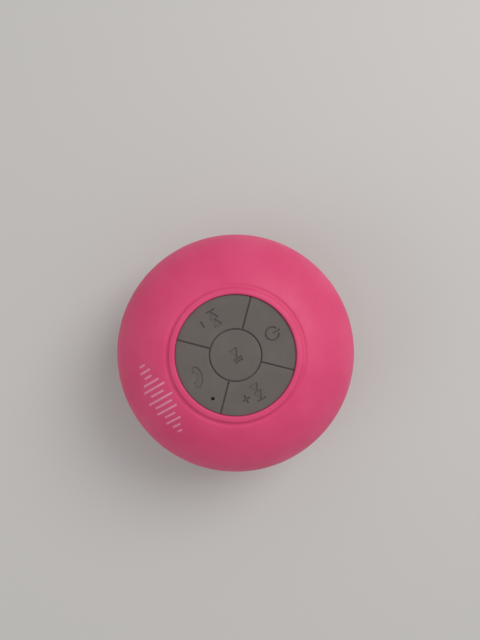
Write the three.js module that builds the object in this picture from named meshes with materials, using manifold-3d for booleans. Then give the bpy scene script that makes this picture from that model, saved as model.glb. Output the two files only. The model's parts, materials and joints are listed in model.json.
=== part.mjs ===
// A round shower speaker with a silicone dome, a five-key pad and a suction cup, lying dome up on its cup.
// Millimetres. +Z runs up the dome's axis from the plane of the cup's rim; the origin is that rim's centre.
// +Y is the top of the speaker as it hangs on a wall: the power key is at +Y and the phone key at -Y.

import * as THREE from "three";
import { mergeVertices } from "three/addons/utils/BufferGeometryUtils.js";
import Module from "manifold-3d";

const wasm = await Module();
wasm.setup();

// ---- Driving dimensions ----

const RIM_RADIUS = 43; // the dome's widest radius
const RIM_Z = 29.5; // height of that widest line
const DOME_RISE = 28; // half height of the ellipse that the dome's section follows
const SKIN = 1.5; // thickness of the silicone skin
const SHELL = 2.3; // wall of the hard front shell, crosswise
const FIT = 0.1; // gap between two fixed pieces that bear on each other
const TOUCH = 0.05; // gap between two pieces that rest on each other
const ROUND = 32; // segments of a turned piece of the casing; nested walls share them, and so keep their gaps
const SMALL_ROUND = 24; // segments of a turned piece inside

const KEYPAD_RADIUS = 19.6; // outer radius of the key pad
const PLAY_RADIUS = 8.25; // radius of the round middle key
const KEY_GAP = 0.4; // groove between two keys
const KEY_TOP = 53.2; // height of the keys' faces
const KEY_BOTTOM = 51.2;
const LIP_TOP = 54; // top of the silicone bead round the keys
const KEY_CIRCLE = 14.4; // radius at which the outer keys press their switches
const SWITCH_REACH = 49.65; // top of a switch's plunger at rest
const MIC_RADIUS = 15.8; // the microphone hole's distance from the axis
const MIC_ANGLE = -58.1; // and its direction, anticlockwise from +X

const BOARD_TOP = 46;
const BOARD_BOTTOM = 44.4;
const BOARD_RADIUS = 27;

const BASE_Z = 14; // flat underside of the rear shell
const NECK_RADIUS = 27.8; // neck of the rear shell, at its top
const CHAMBER_RADIUS = 25.8; // inside of the neck
const CHAMBER_FLOOR = 16;
const LEDGE_Z = 22.4; // ledge that carries the speaker baffle
const TONGUE_RADIUS = 38.9; // outside of the tongue that enters the front shell

const SLOT_COUNT = 32; // pitch of the sound slots round the neck
const SLOT_WIDTH = 2.9;
const SLOT_LOW = 16.6;
const SLOT_HIGH = 20.8;
const CASE_SCREW_CIRCLE = 33.5;
const BOARD_SCREW_CIRCLE = 24.6;
const BAFFLE_SCREW_CIRCLE = 22.6;
const CASE_THREAD = 1.05; // shank radius of the case screws
const SMALL_THREAD = 0.8; // and of the board and baffle screws
const CASE_HEAD = 2.2; // radius of a case screw's head
const CASE_HEAD_SEAT = 26.35; // and its bearing face

const CUP_RADIUS = 32.4; // suction cup, outside of its flat rim
const CUP_HOLLOW = 6.2; // depth of the hollow under the bell
const CUP_TOP = 13.5; // shoulder of the cup's head, under the collar
const PLUG_RADIUS = 5; // the cup's plug, which pushes into the swivel collar
const COLLAR_RADIUS = 7.2;
const COLLAR_FLANGE_RADIUS = 8.8;
const COLLAR_TOP = 19.5;
const RETAINER_RADIUS = 11.3;
const RETAINER_TOP = 15.5;

// ---- Colours and finishes ----

const finish = (color, roughness, metalness = 0) =>
  new THREE.MeshStandardMaterial({ color, roughness, metalness });
const pinkSilicone = () => finish(0xd84378, 0.55);
const pinkPlastic = () => finish(0xd23f73, 0.35);
const greySilicone = () => finish(0x6f6b68, 0.6);
const whitePlastic = () => finish(0xe8e6e1, 0.5);
const blackPlastic = () => finish(0x1d1d1f, 0.5);
const boardGreen = () => finish(0x1f5c3a, 0.45);
const steel = () => finish(0xb9bcc0, 0.3, 1);
const ferrite = () => finish(0x2a2a2c, 0.7);
const foam = () => finish(0x26262a, 0.95);
const wireRed = () => finish(0xb3221e, 0.5);
const wireBlack = () => finish(0x18181a, 0.5);

// ---- Helpers ----

// A closed three.js geometry as a manifold-3d solid.
function toSolid(geometry) {
  const bare = (geometry.index ? geometry.toNonIndexed() : geometry.clone());
  bare.deleteAttribute("normal");
  bare.deleteAttribute("uv");
  const merged = mergeVertices(bare, 1e-4);
  return new wasm.Manifold(
    new wasm.Mesh({
      numProp: 3,
      vertProperties: merged.attributes.position.array,
      triVerts: new Uint32Array(merged.index.array),
    }),
  );
}

function toGeometry(solid) {
  const mesh = solid.getMesh();
  const geometry = new THREE.BufferGeometry();
  geometry.setAttribute("position", new THREE.BufferAttribute(mesh.vertProperties, 3));
  geometry.setIndex(new THREE.BufferAttribute(mesh.triVerts, 1));
  geometry.computeVertexNormals();
  return geometry;
}

// The pieces as one solid, less the tools.
function shaped(pieces, tools = []) {
  const whole = pieces.map(toSolid).reduce((a, b) => a.add(b));
  return toGeometry(tools.map(toSolid).reduce((a, b) => a.subtract(b), whole));
}

const common = (a, b) => toGeometry(toSolid(a).intersect(toSolid(b)));

// Points of an elliptical arc in the (radius, height) plane, from one angle in degrees to another.
function arc(r, z, halfWidth, halfHeight, from, to, steps) {
  return Array.from({ length: steps + 1 }, (_, i) => {
    const a = THREE.MathUtils.degToRad(from + ((to - from) * i) / steps);
    return [r + halfWidth * Math.cos(a), z + halfHeight * Math.sin(a)];
  });
}

// The angle at which a dome of that rise, centred on the rim line, reaches a height.
const angleAt = (z, rise) => THREE.MathUtils.radToDeg(Math.asin((z - RIM_Z) / rise));

// A solid of revolution about Z from an outline of [radius, height] points.
function turned(outline, segments = ROUND) {
  const onAxis = outline[0][0] === 0;
  const ring = onAxis ? outline : [...outline, outline[0]];
  const points = ring.map(([r, z]) => new THREE.Vector2(r, z));
  if (THREE.ShapeUtils.area(points) < 0) points.reverse();
  return new THREE.LatheGeometry(points, segments).rotateX(Math.PI / 2);
}

const ring = (inner, outer, low, high, segments) =>
  turned([[inner, low], [outer, low], [outer, high], [inner, high]], segments);

// An upright cylinder at [x, y].
const rod = ([x, y], radius, low, high, segments = 16) =>
  new THREE.CylinderGeometry(radius, radius, high - low, segments)
    .rotateX(Math.PI / 2)
    .translate(x, y, (low + high) / 2);

const block = ([x0, y0, z0], [x1, y1, z1]) =>
  new THREE.BoxGeometry(x1 - x0, y1 - y0, z1 - z0)
    .translate((x0 + x1) / 2, (y0 + y1) / 2, (z0 + z1) / 2);

// A rectangle with rounded corners, centred on the origin of its plane.
function roundedRectangle(width, height, radius) {
  const x = width / 2 - radius;
  const y = height / 2 - radius;
  const shape = new THREE.Shape();
  shape.absarc(x, y, radius, 0, Math.PI / 2, false);
  shape.absarc(-x, y, radius, Math.PI / 2, Math.PI, false);
  shape.absarc(-x, -y, radius, Math.PI, Math.PI * 1.5, false);
  shape.absarc(x, -y, radius, Math.PI * 1.5, Math.PI * 2, false);
  return shape;
}

const extruded = (shape, depth, curveSegments = 6) =>
  new THREE.ExtrudeGeometry(shape, { depth, bevelEnabled: false, curveSegments });

const polar = (radius, degrees) => {
  const a = THREE.MathUtils.degToRad(degrees);
  return [radius * Math.cos(a), radius * Math.sin(a)];
};

// A round wire through the points.
function wire(points, radius, steps) {
  const section = new THREE.Shape().absarc(0, 0, radius, 0, Math.PI * 2, false);
  const path = new THREE.CatmullRomCurve3(points.map((p) => new THREE.Vector3(...p)));
  return new THREE.ExtrudeGeometry(section, { steps, extrudePath: path, curveSegments: 4 });
}

function mesh(name, geometry, material) {
  const made = new THREE.Mesh(geometry, material);
  made.name = name;
  return made;
}

function group(...children) {
  const made = new THREE.Group();
  made.add(...children);
  return made;
}

// The same piece at several places: one named mesh for each [x, y, degrees].
function repeated(names, places, geometry, material) {
  return names.map((name, i) => {
    const made = mesh(name, geometry, material());
    const [x, y, degrees = 0] = places[i];
    made.position.set(x, y, 0);
    made.rotation.z = THREE.MathUtils.degToRad(degrees);
    return made;
  });
}

const caseScrewPlaces = [45, 135, 225, 315].map((a) => polar(CASE_SCREW_CIRCLE, a));
const boardScrewPlaces = [90, 210, 330].map((a) => polar(BOARD_SCREW_CIRCLE, a));
const baffleScrewPlaces = [0, 120, 240].map((a) => polar(BAFFLE_SCREW_CIRCLE, a));
const micPlace = polar(MIC_RADIUS, MIC_ANGLE);
const keyNames = ["play", "power", "previous", "phone", "next"];
const keyPlaces = [[0, 0], ...[90, 180, 270, 0].map((a) => polar(KEY_CIRCLE, a))];

// ---- Suction cup and swivel ----

function suctionCup() {
  const neck = 8.6;
  const head = 9.4;
  const plugTop = COLLAR_TOP - 0.6;
  const hollow = [[0, CUP_HOLLOW], [8, 6], [15, 5.1], [22, 3.3], [29.5, 0.6], [CUP_RADIUS - 2, 0]];
  const rim = [[CUP_RADIUS, 0], [CUP_RADIUS + 0.2, 0.5]];
  const skirt = [[31, 1.9], [22, 5.5], [14, 8.4], [neck, 11.4], [neck, 12.2]];
  const top = [[head, 12.7], [head, CUP_TOP], [PLUG_RADIUS, CUP_TOP], [PLUG_RADIUS, plugTop], [0, plugTop]];
  const bell = turned([...hollow, ...rim, ...skirt, ...top]);

  // The pull tab, at +X, overlaps the rim.
  const [length, width, corner, thickness, start] = [8, 10, 3.6, 1.3, 30.5];
  const plate = extruded(roundedRectangle(length, width, corner), thickness);
  const tab = plate.translate(start + length / 2, 0, 0);
  return mesh("suction_cup", shaped([bell, tab]), finish(0xcf4a7c, 0.3));
}

// The collar turns in the rear shell's pocket, and the retainer holds its flange there.
function swivelCollar() {
  const bore = PLUG_RADIUS + 0.2;
  const low = BASE_Z + 0.3;
  const flangeLow = RETAINER_TOP + 0.25;
  const outline = [[bore, low], [COLLAR_RADIUS, low], [COLLAR_RADIUS, flangeLow],
    [COLLAR_FLANGE_RADIUS, flangeLow], [COLLAR_FLANGE_RADIUS, COLLAR_TOP], [bore, COLLAR_TOP]];
  return mesh("swivel_collar", turned(outline, SMALL_ROUND), whitePlastic());
}

function collarRetainer() {
  const washer = ring(COLLAR_RADIUS + 0.2, RETAINER_RADIUS, BASE_Z + FIT, RETAINER_TOP);
  return mesh("collar_retainer", washer, whitePlastic());
}

// ---- Casing ----

const SEAT_Z = 51.5; // underside of the skin round the keys
const LIP_INNER = KEYPAD_RADIUS + 0.15;
const TUCK_RADIUS = 39.4; // where the skin's lower edge ends, under the rim
const TUCK_DEPTH = 4.4; // and how far below the rim

function frontSkin() {
  const lip = [
    [LIP_INNER, SEAT_Z], [LIP_INNER, LIP_TOP - 0.65], [LIP_INNER + 0.3, LIP_TOP - 0.15],
    [LIP_INNER + 0.8, LIP_TOP], [LIP_INNER + 1.4, LIP_TOP - 0.15], [LIP_INNER + 2.3, LIP_TOP - 0.88],
  ];
  const beadFoot = 57.5; // the ellipse's angle where the bead's valley ends
  const dome = arc(0, RIM_Z, RIM_RADIUS, DOME_RISE, beadFoot, 0, 8);
  const tuckWidth = RIM_RADIUS - TUCK_RADIUS;
  const tuck = arc(TUCK_RADIUS, RIM_Z, tuckWidth, TUCK_DEPTH, 0, -90, 4).slice(1);
  const innerTuck = arc(TUCK_RADIUS, RIM_Z, tuckWidth - SKIN, TUCK_DEPTH - SKIN, -90, 0, 3);
  const innerRise = DOME_RISE - SKIN;
  const innerDome = arc(0, RIM_Z, RIM_RADIUS - SKIN, innerRise, 0, angleAt(SEAT_Z, innerRise), 7).slice(1);
  const outline = [...lip, ...dome, ...tuck, ...innerTuck, ...innerDome];
  return mesh("front_skin", turned(outline), pinkSilicone());
}

const CASE_JOINT = 28; // where the front and rear screw bosses meet
const CASE_BOSS = 3.2; // radius of those bosses
const WEB_SEAT = 49.5; // ledge that the key pad's flange presses against

function frontShell() {
  const outerWidth = RIM_RADIUS - SKIN - FIT;
  const outerRise = DOME_RISE - SKIN - FIT;
  const innerWidth = outerWidth - SHELL;
  const innerRise = outerRise - 2;
  const top = SEAT_Z - FIT;
  const opening = KEYPAD_RADIUS + 0.3;
  const skirt = TUCK_DEPTH - SKIN - FIT;
  const shell = turned([
    [opening, WEB_SEAT], [opening, top],
    ...arc(0, RIM_Z, outerWidth, outerRise, angleAt(top, outerRise), 0, 7),
    ...arc(TUCK_RADIUS, RIM_Z, outerWidth - TUCK_RADIUS, skirt, 0, -90, 3).slice(1),
    [innerWidth, RIM_Z - skirt],
    ...arc(0, RIM_Z, innerWidth, innerRise, 0, angleAt(WEB_SEAT, innerRise), 5),
  ]);

  // Bosses for the case and board screws run up into the dome's wall.
  const sunk = 0.5;
  const core = turned([[0, CASE_JOINT], ...arc(0, RIM_Z, outerWidth - sunk, outerRise - sunk, 0, 90, 6)]);
  const caseBosses = caseScrewPlaces.map((p) => common(rod(p, CASE_BOSS, CASE_JOINT, 50), core));
  const boardBosses = boardScrewPlaces.map((p) => common(rod(p, 1.9, BOARD_TOP + TOUCH, 52, 12), core));
  const pilots = [
    ...caseScrewPlaces.map((p) => rod(p, CASE_THREAD + 0.07, CASE_JOINT - 1, CASE_JOINT + 8, 10)),
    ...boardScrewPlaces.map((p) => rod(p, SMALL_THREAD + 0.1, BOARD_TOP - 1, BOARD_TOP + 2.5, 10)),
  ];
  return mesh("front_shell", shaped([shell, ...caseBosses, ...boardBosses], pilots), whitePlastic());
}

// The charging port, at -Y: the faces of its pad and of the flap in it, and the port's middle height.
const PORT_FACE = -29.2;
const FLAP_FACE = PORT_FACE + FIT;
const FLAP_BACK = FLAP_FACE + 1.3;
const PORT_Z = 18.1;
const PORT_LOW = 16.6;
const PEG_X = -9; // the peg that anchors the flap's tether
const PEG_RADIUS = 0.75;

const SEAL_Z = 28.3; // middle of the seal's groove in the tongue
const GROOVE_RADIUS = 37.6;
const GROOVE_HALF = 0.8;

// Section of the rear shell: from the swivel's pocket round the outside to the tongue, and back inside.
function rearOutline() {
  const pocket = COLLAR_FLANGE_RADIUS + 0.2;
  const pocketTop = COLLAR_TOP + 0.3;
  const retainerSeat = RETAINER_TOP + FIT;
  const retainerWall = RETAINER_RADIUS + 0.2;
  const [hubRadius, hubTop] = [13.2, 21.6];
  const rounding = 1.4;
  const [flareZ, flareHeight] = [20.2, 5.2];
  const [tongueLow, tongueTop, tongueInner] = [25.6, 30.4, 36.9];
  const ledgeWall = BOARD_RADIUS + 0.15;
  return [
    [0, pocketTop], [pocket, pocketTop], [pocket, retainerSeat],
    [retainerWall, retainerSeat], [retainerWall, BASE_Z],
    ...arc(NECK_RADIUS - 1 - rounding, BASE_Z + rounding, rounding, rounding, -90, 0, 2),
    ...arc(TUCK_RADIUS, flareZ, TUCK_RADIUS - NECK_RADIUS, flareHeight, 180, 94, 5),
    [TONGUE_RADIUS, tongueLow], [TONGUE_RADIUS, SEAL_Z - GROOVE_HALF],
    [GROOVE_RADIUS, SEAL_Z - GROOVE_HALF], [GROOVE_RADIUS, SEAL_Z + GROOVE_HALF],
    [TONGUE_RADIUS, SEAL_Z + GROOVE_HALF], [TONGUE_RADIUS, tongueTop], [tongueInner, tongueTop],
    [tongueInner, 27.6], [31, 25.9], [ledgeWall, 24.7], [ledgeWall, LEDGE_Z], [CHAMBER_RADIUS, LEDGE_Z],
    [CHAMBER_RADIUS, CHAMBER_FLOOR], [hubRadius, CHAMBER_FLOOR], [hubRadius, hubTop], [0, hubTop],
  ];
}

// Sound slots all round the neck, except behind the charging port.
function soundSlots() {
  const portSide = 270;
  const clear = 26;
  const slots = [];
  for (let i = 0; i < SLOT_COUNT; i++) {
    const degrees = (360 * i) / SLOT_COUNT;
    if (Math.abs(degrees - portSide) < clear) continue;
    const inner = [CHAMBER_RADIUS - 1.3, -SLOT_WIDTH / 2, SLOT_LOW];
    const outer = [NECK_RADIUS + 1.2, SLOT_WIDTH / 2, SLOT_HIGH];
    slots.push(block(inner, outer).rotateZ(THREE.MathUtils.degToRad(degrees)));
  }
  return slots;
}

// A round pin or hole along Y where the tether's peg is, between two depths behind the flap's back.
const pegRod = (radius, from, to) =>
  rod([0, 0], radius, from, to, 12).rotateX(-Math.PI / 2).translate(PEG_X, FLAP_BACK, PORT_Z);

function rearShell() {
  const chamber = rod([0, 0], CHAMBER_RADIUS, CHAMBER_FLOOR - 1, LEDGE_Z + 1.6, ROUND);
  const pad = shaped([block([-10.8, PORT_FACE, 14.6], [8.6, -24.5, 21.2])], [chamber]);
  const caseBosses = caseScrewPlaces.map((p) => rod(p, CASE_BOSS, 25.6, CASE_JOINT - TOUCH));
  const bafflePosts = baffleScrewPlaces.map((p) => rod(p, 2.2, CHAMBER_FLOOR - 0.5, LEDGE_Z, 12));

  const holes = [
    ...caseScrewPlaces.map((p) => rod(p, CASE_HEAD + 0.4, 20, CASE_HEAD_SEAT + TOUCH)),
    ...caseScrewPlaces.map((p) => rod(p, CASE_THREAD + 0.2, CASE_HEAD_SEAT - 0.35, CASE_JOINT + 1, 10)),
    ...baffleScrewPlaces.map((p) => rod(p, SMALL_THREAD + 0.1, CHAMBER_FLOOR + 1, LEDGE_Z + 0.6, 10)),
  ];
  const recess = block([-10.2, PORT_FACE - 1, PORT_Z - 2.5], [6.9, FLAP_BACK + FIT, PORT_Z + 2.5]);
  const portHole = block([-4, FLAP_BACK - 1, PORT_LOW], [4, -24, 19.7]);
  const cuts = [...holes, recess, portHole, pegRod(PEG_RADIUS + 0.1, -1, 1.6), ...soundSlots()];
  const solids = [turned(rearOutline()), pad, ...caseBosses, ...bafflePosts];
  return mesh("rear_shell", shaped(solids, cuts), pinkPlastic());
}

function caseSeal() {
  const section = 0.7;
  return mesh("case_seal", turned(arc(GROOVE_RADIUS + TOUCH + section, SEAL_Z, section, section, 0, 300, 5)),
    blackPlastic());
}

function grilleMesh() {
  const outer = CHAMBER_RADIUS - 0.2;
  const band = ring(outer - 0.4, outer, CHAMBER_FLOOR + 0.3, LEDGE_Z - 0.2);
  const gap = block([-10, -30, CHAMBER_FLOOR - 1], [10, -20, LEDGE_Z + 1.6]);
  return mesh("grille_mesh", shaped([band], [gap]), finish(0x3a3a3c, 0.9));
}

// ---- Key pad ----

const KEY_POST = 1.6; // radius of the post under each key
const POST_FOOT = SWITCH_REACH + FIT;
const MIC_HOLE = 0.5; // radius of the microphone's hole
const WEB_FLANGE = 22.2; // outer radius of the sheet's flange
const FLANGE_LOW = 48.75;

// One of the four outer keys, centred on +X: a quarter of a ring with its post below.
function sectorKey(drillings = []) {
  const inner = PLAY_RADIUS + KEY_GAP;
  const cornerAngle = (radius) => Math.PI / 4 - Math.asin(KEY_GAP / 2 / radius);
  const shape = new THREE.Shape();
  shape.absarc(0, 0, KEYPAD_RADIUS, -cornerAngle(KEYPAD_RADIUS), cornerAngle(KEYPAD_RADIUS), false);
  shape.absarc(0, 0, inner, cornerAngle(inner), -cornerAngle(inner), true);
  const plate = extruded(shape, KEY_TOP - KEY_BOTTOM, 10).translate(0, 0, KEY_BOTTOM);
  const post = rod([KEY_CIRCLE, 0], KEY_POST, POST_FOOT, KEY_BOTTOM + 0.5, 12);
  return shaped([plate, post], drillings);
}

function playKey() {
  const chamfer = 0.25;
  return turned([
    [0, POST_FOOT], [KEY_POST, POST_FOOT], [KEY_POST, KEY_BOTTOM], [PLAY_RADIUS, KEY_BOTTOM],
    [PLAY_RADIUS, KEY_TOP - chamfer], [PLAY_RADIUS - chamfer, KEY_TOP], [0, KEY_TOP],
  ], SMALL_ROUND);
}

function keys() {
  const turns = { power: 90, previous: 180, phone: 270, next: 0 };
  const outer = Object.entries(turns).map(([name, degrees]) => {
    const micHole = rod(polar(MIC_RADIUS, MIC_ANGLE - degrees), MIC_HOLE, 50, 55, 12);
    const geometry = sectorKey(name === "phone" ? [micHole] : []);
    const key = mesh(`key_${name}`, geometry, greySilicone());
    key.rotation.z = THREE.MathUtils.degToRad(degrees);
    return key;
  });
  return [mesh("key_play", playKey(), greySilicone()), ...outer];
}

// The thin sheet that seals the keys, with a flange clamped under the front shell.
function keypadWeb() {
  const [low, high] = [KEY_BOTTOM - 1.15, KEY_BOTTOM - 0.5];
  const outer = KEYPAD_RADIUS - 0.05;
  const flangeTop = WEB_SEAT - FIT;
  const sheet = turned([
    [0, high], [outer, high], [outer, flangeTop], [WEB_FLANGE, flangeTop],
    [WEB_FLANGE, FLANGE_LOW], [outer - 0.75, FLANGE_LOW], [outer - 0.75, low], [0, low],
  ]);
  const drill = (place, radius) => rod(place, radius, low - 1.05, high + 1.3, 12);
  const holes = [...keyPlaces.map((p) => drill(p, KEY_POST + 0.4)), drill(micPlace, MIC_HOLE + 0.3)];
  return mesh("keypad_web", shaped([sheet], holes), greySilicone());
}

function keypadClampRing() {
  const spacer = ring(19, WEB_FLANGE - 0.1, BOARD_TOP + TOUCH, FLANGE_LOW - TOUCH);
  return mesh("keypad_clamp_ring", spacer, whitePlastic());
}

// ---- Electronics ----

function mainBoard() {
  const disc = rod([0, 0], BOARD_RADIUS, BOARD_BOTTOM, BOARD_TOP, ROUND);
  const holes = boardScrewPlaces.map((p) => rod(p, 1, BOARD_BOTTOM - 1, BOARD_TOP + 1, 12));
  return mesh("main_board", shaped([disc], holes), boardGreen());
}

function switches() {
  const top = BOARD_TOP + 2.9;
  const half = 3;
  const stem = 1.7;
  const socket = rod([0, 0], stem + 0.15, top - 1.4, top + 1, 12);
  const body = shaped([block([-half, -half, BOARD_TOP], [half, half, top])], [socket]);
  const plunger = rod([0, 0], stem, top - 0.9, SWITCH_REACH, 12);
  return [
    ...repeated(keyNames.map((n) => `switch_body_${n}`), keyPlaces, body, blackPlastic),
    ...repeated(keyNames.map((n) => `switch_plunger_${n}`), keyPlaces, plunger, whitePlastic),
  ];
}

function radioModule() {
  const half = 3.5;
  const made = mesh("radio_module", block([-half, -half, 0], [half, half, 0.9]), steel());
  const [x, y] = polar(14, 135); // between the power and previous keys' switches
  made.position.set(x, y, BOARD_TOP);
  made.rotation.z = THREE.MathUtils.degToRad(45);
  return made;
}

function microphone() {
  const top = BOARD_TOP + 1.5;
  const capsule = mesh("microphone", rod([0, 0], 2, BOARD_TOP, top, 12), steel());
  const boot = mesh("microphone_boot", ring(0.9, 2.5, top + TOUCH, 50, 12), blackPlastic());
  const placed = group(capsule, boot);
  placed.position.set(...micPlace, 0);
  return placed;
}

const BATTERY_X = -24.7;
const BATTERY_BASE = 26.3;
const BATTERY_TOP = 42.6;

function battery() {
  const [thickness, width, corner] = [5, 30, 1];
  const cell = extruded(roundedRectangle(thickness, width, corner), BATTERY_TOP - BATTERY_BASE);
  const made = mesh("battery", cell, finish(0xc9ccd0, 0.35, 0.6));
  made.position.set(BATTERY_X, 0, BATTERY_BASE);
  return made;
}

// ---- Charging port ----

function chargeSocket() {
  const shell = block([-3.75, -26.1, 16.8], [3.75, -20.6, 19.4]);
  const mouth = block([-3.4, -27, 17.15], [3.4, -21.6, 19.05]);
  const hollow = shaped([shell], [mouth]);
  const tongue = block([-1.9, -25.2, 17.95], [1.9, -21, 18.5]);
  return mesh("charge_socket", shaped([hollow, tongue]), steel());
}

const chargeBoard = () => mesh("charge_board", block([-5.5, -25, 16.05], [5.5, -18, 16.75]), boardGreen());

// A plate that lies in the recess, standing upright in the XZ plane with its outer face at FLAP_FACE.
function uprightPlate(x0, x1, height, radius) {
  const depth = FLAP_BACK - FLAP_FACE;
  return extruded(roundedRectangle(x1 - x0, height, radius), depth)
    .rotateX(-Math.PI / 2)
    .translate((x0 + x1) / 2, FLAP_FACE, PORT_Z);
}

const FOLD_X = -7.3; // the flap folds about a line parallel to Z at this x, on its outer face

function portFlap() {
  const plate = uprightPlate(FOLD_X + 0.1, 6.6, 4.5, 1);
  const nub = block([-3.2, FLAP_BACK - 0.3, 17], [3.2, FLAP_BACK + 1.3, 19.3]);
  const nick = block([5.2, FLAP_FACE - 0.8, PORT_Z - 1.4], [6.3, FLAP_FACE + 0.4, PORT_Z + 1.4]);
  return mesh("port_flap", shaped([plate, nub, nick]), pinkSilicone());
}

function flapTether() {
  const plate = uprightPlate(PEG_X - 1, FOLD_X - 0.1, 3, 0.6);
  return mesh("flap_tether", shaped([plate, pegRod(PEG_RADIUS, -0.3, 1.4)]), pinkSilicone());
}

// ---- Speaker driver, firing down into the chamber behind the slots ----

const BAFFLE_BASE = LEDGE_Z + TOUCH;
const BAFFLE_TOP = BAFFLE_BASE + 2;
const BASKET_BASE = 25;
const SURROUND_Z = 25.9; // where the surround meets the cone
const BASKET_TOP = 33;
const COIL_RADIUS = 6.6;
const POLE_RADIUS = 5.6;
const POLE_BASE = 33.4;
const MAGNET_TOP = 39.2;
const CHARGE_LEAD_Y = -23.6; // where the charge lead comes up through the baffle

function speakerBaffle() {
  const plate = ring(16.8, BOARD_RADIUS, BAFFLE_BASE, BAFFLE_TOP);
  const cradle = block([-26, -6.5, BAFFLE_TOP - 0.5], [-22.4, 6.5, BATTERY_BASE - TOUCH]);
  const holes = baffleScrewPlaces.map((p) => rod(p, SMALL_THREAD + 0.3, 20, 26, 12));
  const leadHole = rod([0, CHARGE_LEAD_Y], 1.3, 20, 26);
  return mesh("speaker_baffle", shaped([plate, cradle], [...holes, leadHole]), blackPlastic());
}

function speakerBasket() {
  const [flange, flangeTop] = [20, BASKET_BASE + 0.8];
  const outer = [[17, BASKET_BASE], [flange, BASKET_BASE], [flange, flangeTop], [18.9, flangeTop],
    [17.2, 31.6], [14, BASKET_TOP], [8, BASKET_TOP]];
  const inner = [[8, BASKET_TOP - 0.7], [13.7, BASKET_TOP - 0.7], [16.4, 31.1], [17.9, SURROUND_Z],
    [17, SURROUND_Z]];
  const frame = turned([...outer, ...inner]);

  // The terminal strip stands at +Y, and the windows leave that side whole.
  const terminal = block([-3.2, 17.4, 26.2], [3.2, 19.6, 27]);
  const windows = [0, 120, 180, 240, 300].map((a) =>
    block([15.5, -4.5, 27.4], [22, 4.5, 30.4]).rotateZ(THREE.MathUtils.degToRad(a)));
  return mesh("speaker_basket", shaped([frame, terminal], windows), steel());
}

function speakerDriver() {
  const [middle, roll, thickness] = [15.5, 1.3, 0.35];
  const inside = roll - thickness;
  const surround = [...arc(middle, SURROUND_Z, roll, roll, 0, -180, 4),
    ...arc(middle, SURROUND_Z, inside, inside, -180, 0, 4)];
  const plateTop = 35;
  const backBase = MAGNET_TOP + TOUCH;
  const [backRadius, backTop] = [13, 41.2];
  const yoke = [[0, POLE_BASE], [POLE_RADIUS, POLE_BASE], [POLE_RADIUS, backBase], [backRadius, backBase],
    [backRadius, backTop], [0, backTop]];
  const spider = ring(COIL_RADIUS + 0.2, 14, 31.6, 31.9, SMALL_ROUND);
  const topPlate = ring(COIL_RADIUS + 0.3, 13.6, BASKET_TOP + TOUCH, plateTop, SMALL_ROUND);
  const magnet = ring(8, 13.5, plateTop + TOUCH, MAGNET_TOP, SMALL_ROUND);
  return [
    mesh("speaker_gasket", ring(16.9, 20, BAFFLE_TOP + TOUCH, BASKET_BASE - TOUCH), foam()),
    speakerBasket(),
    mesh("speaker_surround", turned(surround, SMALL_ROUND), blackPlastic()),
    mesh("speaker_spider", spider, finish(0xb98a4e, 0.9)),
    mesh("speaker_top_plate", topPlate, steel()),
    mesh("speaker_magnet", magnet, ferrite()),
    mesh("speaker_yoke", turned(yoke, SMALL_ROUND), steel()),
  ];
}

function movingCone() {
  const [coneRadius, coneTop, paper] = [14.1, 30.4, 0.5];
  const cone = [[coneRadius, SURROUND_Z], [COIL_RADIUS, coneTop], [COIL_RADIUS, coneTop + paper],
    [coneRadius, SURROUND_Z + paper]];
  const cap = [[0, 28.2], [3, 28.6], [6.4, 30.3], [6.1, 30.7], [2.9, 29.1], [0, 28.7]];
  const coil = ring(POLE_RADIUS + 0.3, COIL_RADIUS, 31, 36.5, SMALL_ROUND);
  return [
    mesh("speaker_cone", turned(cone, SMALL_ROUND), finish(0x1c1c1e, 0.85)),
    mesh("speaker_dust_cap", turned(cap, SMALL_ROUND), finish(0x232325, 0.6)),
    mesh("voice_coil", coil, finish(0xb87333, 0.35, 1)),
  ];
}

// ---- Wiring and screws ----

// A red lead through the route's points, and a black one with axis 0 (x) or 1 (y) of each point negated.
function leadPair(name, route, negated, radius, steps) {
  return [["red", 1, wireRed], ["black", -1, wireBlack]].map(([colour, side, paint]) => {
    const points = route.map((point) => point.map((c, axis) => (axis === negated ? c * side : c)));
    return mesh(`${name}_${colour}`, wire(points, radius, steps), paint());
  });
}

function wiring() {
  const battery = [[BATTERY_X, 3, BATTERY_TOP + 0.25], [-24.4, 3, 43.35], [-22.5, 3, 43.8], [-17, 3, 43.85]];
  const speaker = [[1.6, 18.8, 27.2], [1.6, 19.5, 31], [1.6, 19.2, 38], [1.6, 17.3, 42.6], [1.6, 17, 44.2]];
  const charge = [[0, -18.8, 17], [0, -18.8, 18.4], [0, -20.4, 20.7], [0, -22.9, 21.4],
    [0, CHARGE_LEAD_Y, 23], [0, -23.7, 26], [0, -24.2, 34], [0, -22.6, 42], [0, -22.4, 44.1]];
  return [
    ...leadPair("battery_lead", battery, 1, 0.45, 7),
    ...leadPair("speaker_lead", speaker, 0, 0.5, 9),
    mesh("charge_lead", wire(charge, 0.6, 18), wireBlack()),
  ];
}

// A pan-head screw whose head's bearing face is at seat, pointing up (1) or down (-1).
function screw(headRadius, headHeight, shankRadius, length, seat, direction) {
  const heights = [seat - direction * headHeight, seat, seat + direction * length];
  return turned([
    [0, heights[0]], [headRadius, heights[0]], [headRadius, heights[1]], [shankRadius, heights[1]],
    [shankRadius, heights[2]], [0, heights[2]],
  ], 10);
}

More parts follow.
